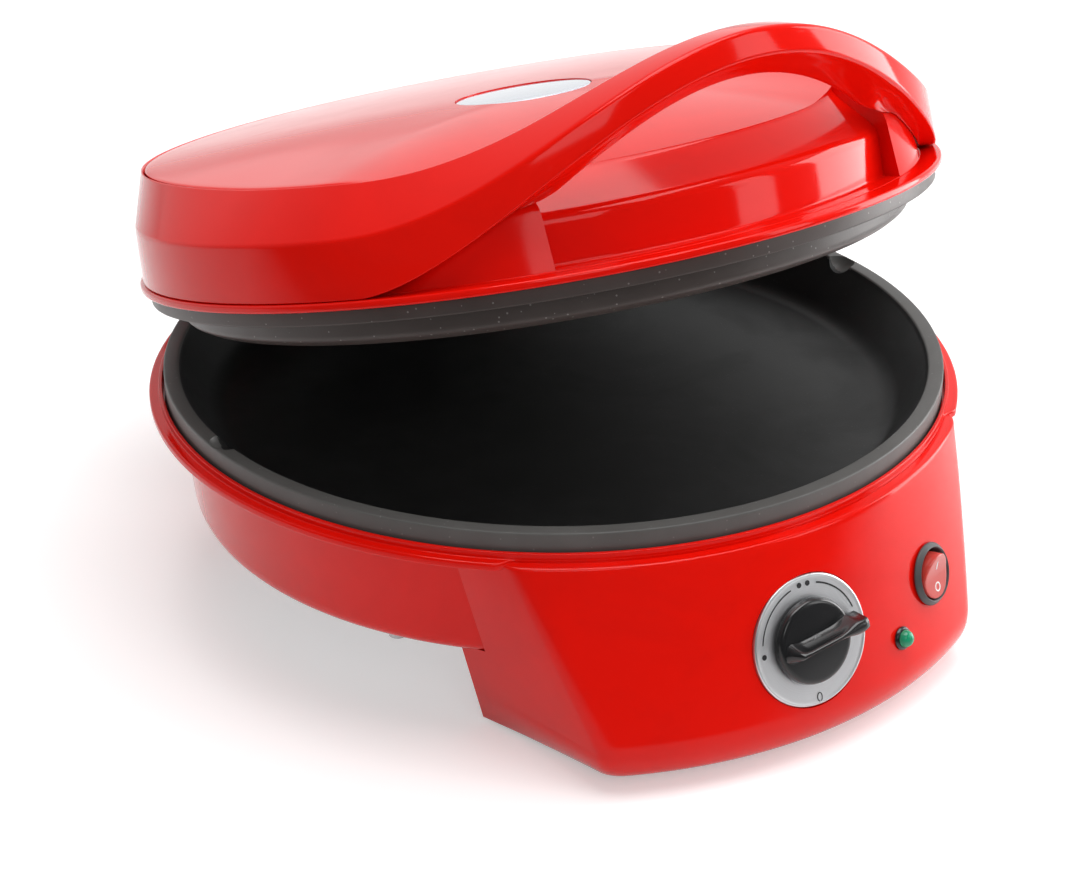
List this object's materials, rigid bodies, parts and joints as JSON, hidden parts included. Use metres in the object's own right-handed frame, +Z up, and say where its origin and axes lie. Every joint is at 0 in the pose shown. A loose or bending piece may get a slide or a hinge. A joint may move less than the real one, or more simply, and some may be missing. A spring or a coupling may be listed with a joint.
{
  "type": "electric pizza maker",
  "caption": "Round countertop pizza maker: dished pan in a footed base with a leaning control panel, and a heated lid on a rear hinge with an arched front handle.",
  "frame": {"origin": "on the table, under the middle of the footprint, with the lid at its resting opening", "axes": "+Z up; the control panel and the handle face -Y and the hinge is at +Y; +X is to the user's right"},
  "size_m": [0.35, 0.3983, 0.2842],
  "materials": {
    "red_plastic": "gloss",
    "nonstick_iron": "satin non-stick coating",
    "steel": "brushed",
    "aluminium_trim": "spun",
    "black_plastic": "gloss",
    "grey_plastic": "matte",
    "red_lens": "clear tinted",
    "green_lens": "clear tinted",
    "glass": "clear",
    "rubber": "matte",
    "ceramic": "matte",
    "pale_inlay": "gloss"
  },
  "bodies": {
    "base": {"base_shell": "red_plastic", "control_housing": "red_plastic", "housing_floor": "grey_plastic", "bottom_cover": "steel", "rear_legs": "red_plastic", "rubber_feet": "rubber", "pan": "nonstick_iron", "lower_element": "steel", "element_clips": "steel", "lower_reflector": "aluminium_trim", "thermostat": "ceramic", "thermostat_bracket": "steel", "dial_plate": "aluminium_trim", "power_switch": "grey_plastic", "lamp_bezel": "black_plastic", "lamp_lens": "green_lens", "neon_lamp": "glass", "terminal_block": "ceramic", "thermal_fuse": "steel", "cord_gland": "rubber", "base_screws": "steel", "hinge_base": "red_plastic", "hinge_pin": "steel", "pan_studs": "steel"},
    "lid": {"hinge_arms": "steel", "hinge_cover": "red_plastic", "lid_cover": "red_plastic", "handle_band": "red_plastic", "upper_plate": "nonstick_iron", "upper_element": "steel", "upper_reflector": "aluminium_trim", "lid_screws": "steel", "lid_inlay": "pale_inlay"},
    "dial": {"knob": "black_plastic", "control_shaft": "steel"},
    "switch": {"rocker_button": "red_lens"}
  },
  "joints": [
    {"name": "lid_hinge", "type": "hinge", "parent": "base", "child": "lid", "pos_m": [0, 0.1805, 0.0995], "axis": [-1, 0, 0], "range_deg": [-16.5, 70]},
    {"name": "dial_turn", "type": "hinge", "parent": "base", "child": "dial", "pos_m": [-0.00654, -0.18742, 0.0505], "axis": [-0.0335, -0.9607, 0.2756], "range_deg": [0, 262]},
    {"name": "rocker_tilt", "type": "hinge", "parent": "base", "child": "switch", "pos_m": [0.06507, -0.17403, 0.05109], "axis": [0.9367, 0.3502, 0], "range_deg": [-20, 0]}
  ]
}
